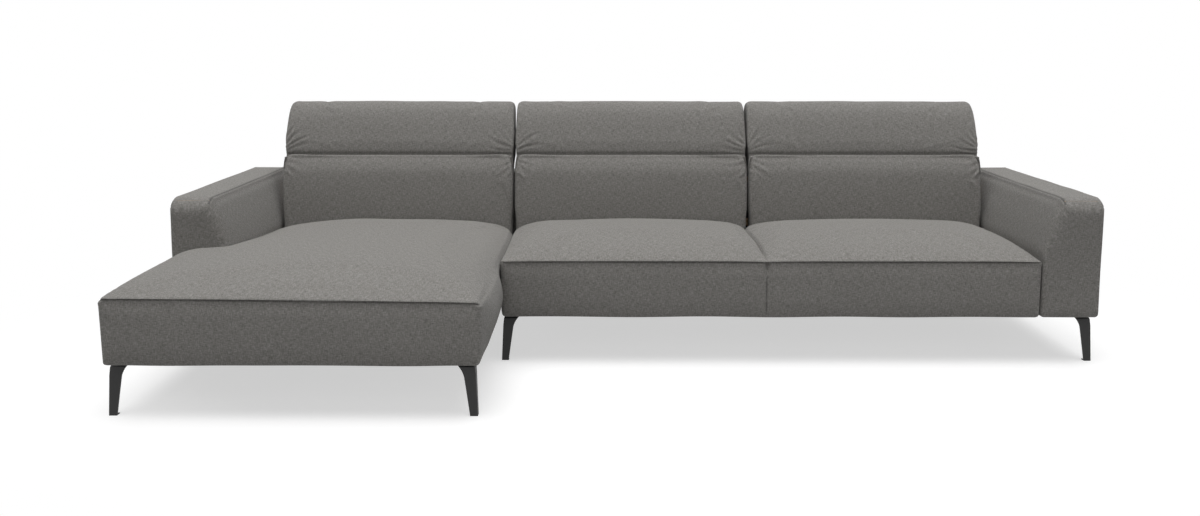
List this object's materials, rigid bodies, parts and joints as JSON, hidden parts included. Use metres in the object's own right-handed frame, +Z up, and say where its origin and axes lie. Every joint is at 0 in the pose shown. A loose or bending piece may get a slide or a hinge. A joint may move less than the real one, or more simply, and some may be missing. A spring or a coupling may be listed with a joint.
{
  "type": "sectional sofa with chaise",
  "caption": "Upholstered sectional sofa with a chaise on the left, box arms, curved metal legs and back cushions whose headrests fold backwards on ratchet hinges.",
  "frame": {"origin": "on the floor, under the middle of the whole sofa's bounding box", "axes": "+X to the right, seen from the front; +Y to the rear; +Z up"},
  "size_m": [3.2, 1.62, 0.8721],
  "materials": {
    "upholstery": "woven melange",
    "foam": "matte",
    "timber": "raw",
    "webbing": "woven",
    "dust_cloth": "matte",
    "leg_metal": "satin",
    "hinge_steel": "zinc plated",
    "glide_plastic": "matte"
  },
  "bodies": {
    "sofa": {"chaise_leg_front_left": "leg_metal", "chaise_leg_front_right": "leg_metal", "chaise_leg_rear_right": "leg_metal", "chaise_leg_rear_left": "leg_metal", "sofa_leg_front_left": "leg_metal", "sofa_leg_front_right": "leg_metal", "sofa_leg_rear_right": "leg_metal", "sofa_leg_rear_left": "leg_metal", "leg_glides": "glide_plastic", "chaise_front_rail": "timber", "chaise_left_rail": "timber", "chaise_step_rail": "timber", "chaise_right_rail": "timber", "chaise_arm_rail": "timber", "chaise_rear_rail": "timber", "sofa_front_rail": "timber", "sofa_left_rail": "timber", "sofa_middle_rail": "timber", "sofa_right_rail": "timber", "sofa_rear_rail": "timber", "chaise_corner_blocks": "timber", "sofa_corner_blocks": "timber", "left_arm_frame": "timber", "right_arm_frame": "timber", "chaise_back_frame": "timber", "sofa_back_frame": "timber", "chaise_seat_webbing": "webbing", "sofa_seat_webbing": "webbing", "back_webbing": "webbing", "chaise_dust_cover": "dust_cloth", "sofa_dust_cover": "dust_cloth", "chaise_seat_foam": "foam", "sofa_seat_foam_left": "foam", "sofa_seat_foam_right": "foam", "chaise_seat_cover": "upholstery", "sofa_seat_cover": "upholstery", "left_arm_cover": "upholstery", "right_arm_cover": "upholstery", "chaise_rear_panel": "upholstery", "sofa_rear_panel": "upholstery", "chaise_back_cushion": "upholstery", "chaise_hinge_brackets": "hinge_steel", "middle_back_cushion": "upholstery", "middle_hinge_brackets": "hinge_steel", "right_back_cushion": "upholstery", "right_hinge_brackets": "hinge_steel", "hinge_pins": "hinge_steel", "hinge_pawls": "hinge_steel", "connector_hooks": "hinge_steel", "connector_catches": "hinge_steel"},
    "chaise_headrest": {"chaise_headrest_cushion": "upholstery", "chaise_headrest_board": "timber", "chaise_hinge_arms": "hinge_steel"},
    "middle_headrest": {"middle_headrest_cushion": "upholstery", "middle_headrest_board": "timber", "middle_hinge_arms": "hinge_steel"},
    "right_headrest": {"right_headrest_cushion": "upholstery", "right_headrest_board": "timber", "right_hinge_arms": "hinge_steel"}
  },
  "joints": [
    {"name": "chaise_headrest_tilt", "type": "hinge", "parent": "sofa", "child": "chaise_headrest", "pos_m": [-0.93425, 0.631, 0.625], "axis": [-1, 0, 0], "range_deg": [0, 65]},
    {"name": "middle_headrest_tilt", "type": "hinge", "parent": "sofa", "child": "middle_headrest", "pos_m": [-0.0025, 0.631, 0.625], "axis": [-1, 0, 0], "range_deg": [0, 65]},
    {"name": "right_headrest_tilt", "type": "hinge", "parent": "sofa", "child": "right_headrest", "pos_m": [0.93175, 0.631, 0.625], "axis": [-1, 0, 0], "range_deg": [0, 65]}
  ]
}
